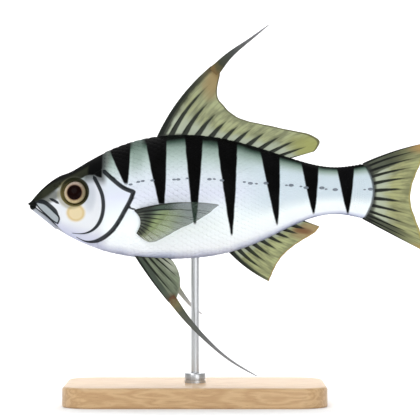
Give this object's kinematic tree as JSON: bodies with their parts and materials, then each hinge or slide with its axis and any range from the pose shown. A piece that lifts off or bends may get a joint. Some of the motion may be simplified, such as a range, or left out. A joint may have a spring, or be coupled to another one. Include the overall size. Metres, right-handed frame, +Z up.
{
  "type": "barred streamer-finned fish model on a display stand",
  "caption": "Life-size slender silver fish with black bars and trailing fin streamers, held level on a steel rod over a small rectangular wooden base.",
  "frame": {"origin": "centre of the base's underside, straight under the rod", "axes": "+X towards the fish's tail, -X towards its snout, -Y towards its left side, +Z up"},
  "size_m": [0.1602, 0.062, 0.1514],
  "materials": {
    "skin": "satin painted, silver-white with black bars",
    "fins": "satin painted, olive with dark rays",
    "eye": "glossy, cream iris and dark pupil",
    "wood": "satin",
    "steel": "brushed"
  },
  "bodies": {
    "root": {"head": "skin", "lower_jaw": "skin", "gill_cover_left": "skin", "gill_cover_right": "skin", "trunk": "skin", "tail_stalk": "skin", "dorsal_fin_front": "fins", "dorsal_fin_rear": "fins", "dorsal_streamer": "fins", "anal_fin": "fins", "tail_fin_upper": "fins", "tail_fin_lower": "fins", "pectoral_fin_left": "fins", "pectoral_fin_right": "fins", "pelvic_fin_left": "fins", "pelvic_fin_right": "fins", "pelvic_streamer_left": "fins", "pelvic_streamer_right": "fins", "eye_left": "eye", "eye_right": "eye", "stand_base": "wood", "stand_rod": "steel", "stand_collar": "steel"}
  },
  "joints": []
}
